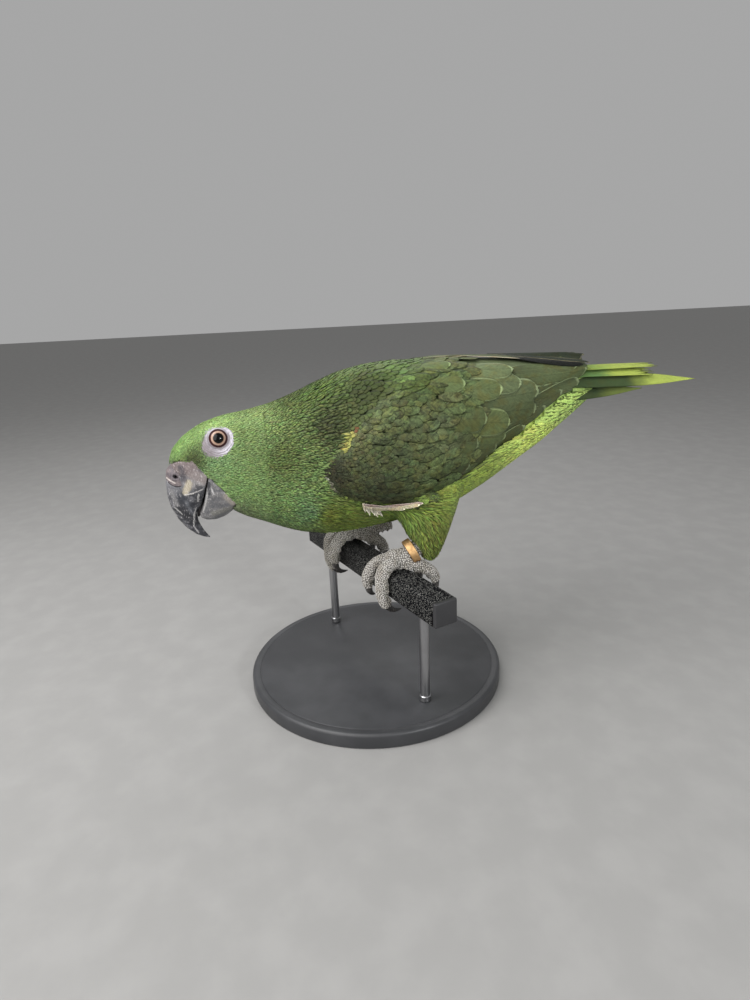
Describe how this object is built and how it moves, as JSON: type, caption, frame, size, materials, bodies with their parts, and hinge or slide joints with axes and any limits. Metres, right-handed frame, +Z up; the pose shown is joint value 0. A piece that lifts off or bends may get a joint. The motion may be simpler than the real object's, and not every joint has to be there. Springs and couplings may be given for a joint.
{
  "type": "amazon parrot figure on a perch",
  "caption": "Life-size standing amazon parrot with folded wings, hooked bill and gripping feet, on a cut length of square tube held by a round display stand.",
  "frame": {"origin": "centre of the stand base's underside, on the floor, directly below the point of the perch's axis midway between the feet", "axes": "+Z up; the bird faces -Y with its tail towards +Y; +X is the bird's left; the perch's axis is turned 18 degrees from X, its left end towards the tail"},
  "size_m": [0.172, 0.3488, 0.2154],
  "materials": {
    "body_feathers": "soft overlapping green contour feathers, yellower underneath",
    "wing_feathers": "dark olive green vanes with thin paler edges",
    "tail_feathers": "green vanes with yellow, frayed ends",
    "cere_skin": "dull grey-brown skin",
    "bill_horn": "grey horn with fine flaking and a cream patch",
    "eye": "wet gloss over a pinkish-tan iris and black pupil",
    "foot_scales": "pale grey pebbled scales with dark seams",
    "claw_horn": "dark brown horn",
    "ring_metal": "satin copper-gold",
    "perch_paint": "black and silver hammered paint",
    "cap_plastic": "matt black",
    "stand_base_paint": "satin black paint on board",
    "stand_rod_metal": "satin black"
  },
  "bodies": {
    "root": {"head": "body_feathers", "neck": "body_feathers", "trunk": "body_feathers", "cere": "cere_skin", "bill_upper": "bill_horn", "bill_lower": "bill_horn", "eye_left": "eye", "eye_right": "eye", "wing_left": "wing_feathers", "wing_right": "wing_feathers", "tail": "tail_feathers", "thigh_left": "body_feathers", "thigh_right": "body_feathers", "tarsus_left": "foot_scales", "tarsus_right": "foot_scales", "toe_left_front_outer": "foot_scales", "toe_left_front_inner": "foot_scales", "toe_left_back_outer": "foot_scales", "toe_left_back_inner": "foot_scales", "toe_right_front_outer": "foot_scales", "toe_right_front_inner": "foot_scales", "toe_right_back_outer": "foot_scales", "toe_right_back_inner": "foot_scales", "claw_left_front_outer": "claw_horn", "claw_left_front_inner": "claw_horn", "claw_left_back_outer": "claw_horn", "claw_left_back_inner": "claw_horn", "claw_right_front_outer": "claw_horn", "claw_right_front_inner": "claw_horn", "claw_right_back_outer": "claw_horn", "claw_right_back_inner": "claw_horn", "leg_band": "ring_metal", "perch_bar": "perch_paint", "perch_cap_left": "cap_plastic", "perch_cap_right": "cap_plastic", "stand_base": "stand_base_paint", "stand_rod_left": "stand_rod_metal", "stand_rod_right": "stand_rod_metal"}
  },
  "joints": []
}
